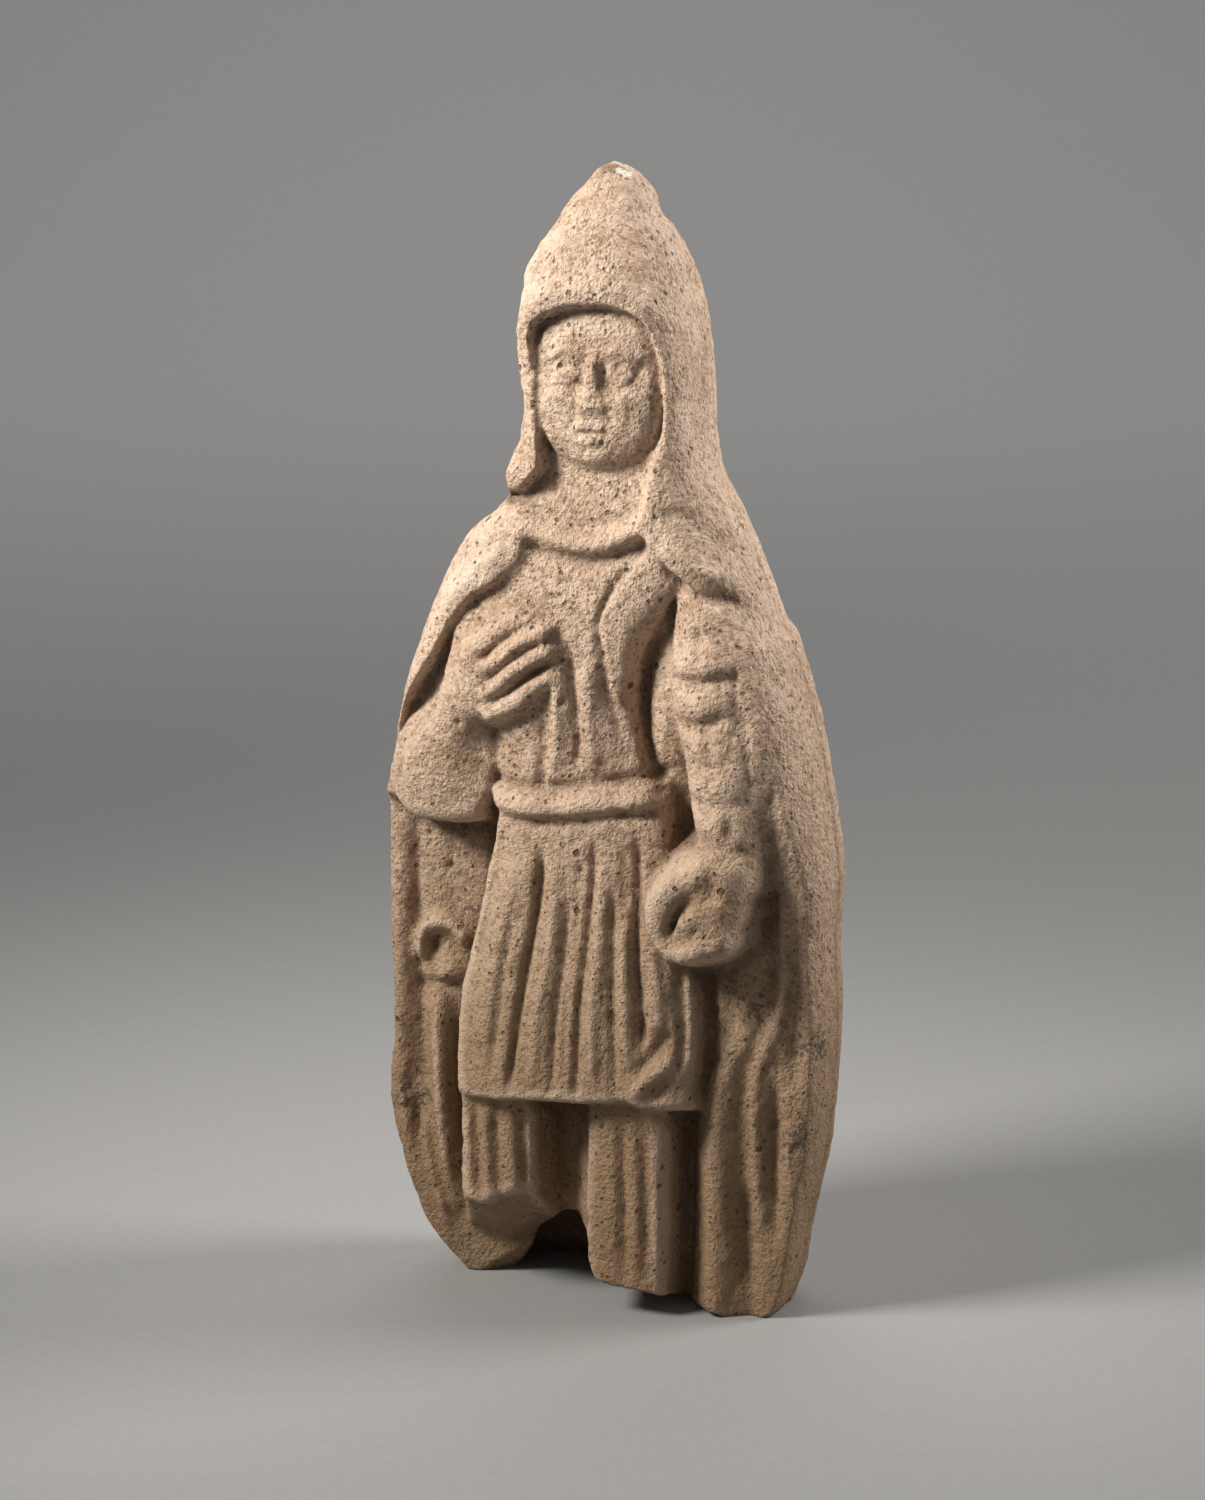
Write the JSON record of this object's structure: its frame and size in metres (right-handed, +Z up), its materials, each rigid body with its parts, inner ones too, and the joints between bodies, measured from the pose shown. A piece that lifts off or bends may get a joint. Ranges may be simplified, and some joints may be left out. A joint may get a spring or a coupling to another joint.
{
  "type": "figurine",
  "caption": "Small hollow moulded terracotta figurine of a standing man in a pointed cap, long cloak, belted tunic and trousers, worn and broken at the foot.",
  "frame": {"origin": "on the ground, under the middle of the figure's box", "axes": "+Z up through the cap, -Y the way the figure faces, +X towards the figure's left side"},
  "size_m": [0.0662, 0.0351, 0.16],
  "materials": {
    "fired_clay": "matte unglazed"
  },
  "bodies": {
    "root": {"figurine": "fired_clay"}
  },
  "joints": []
}
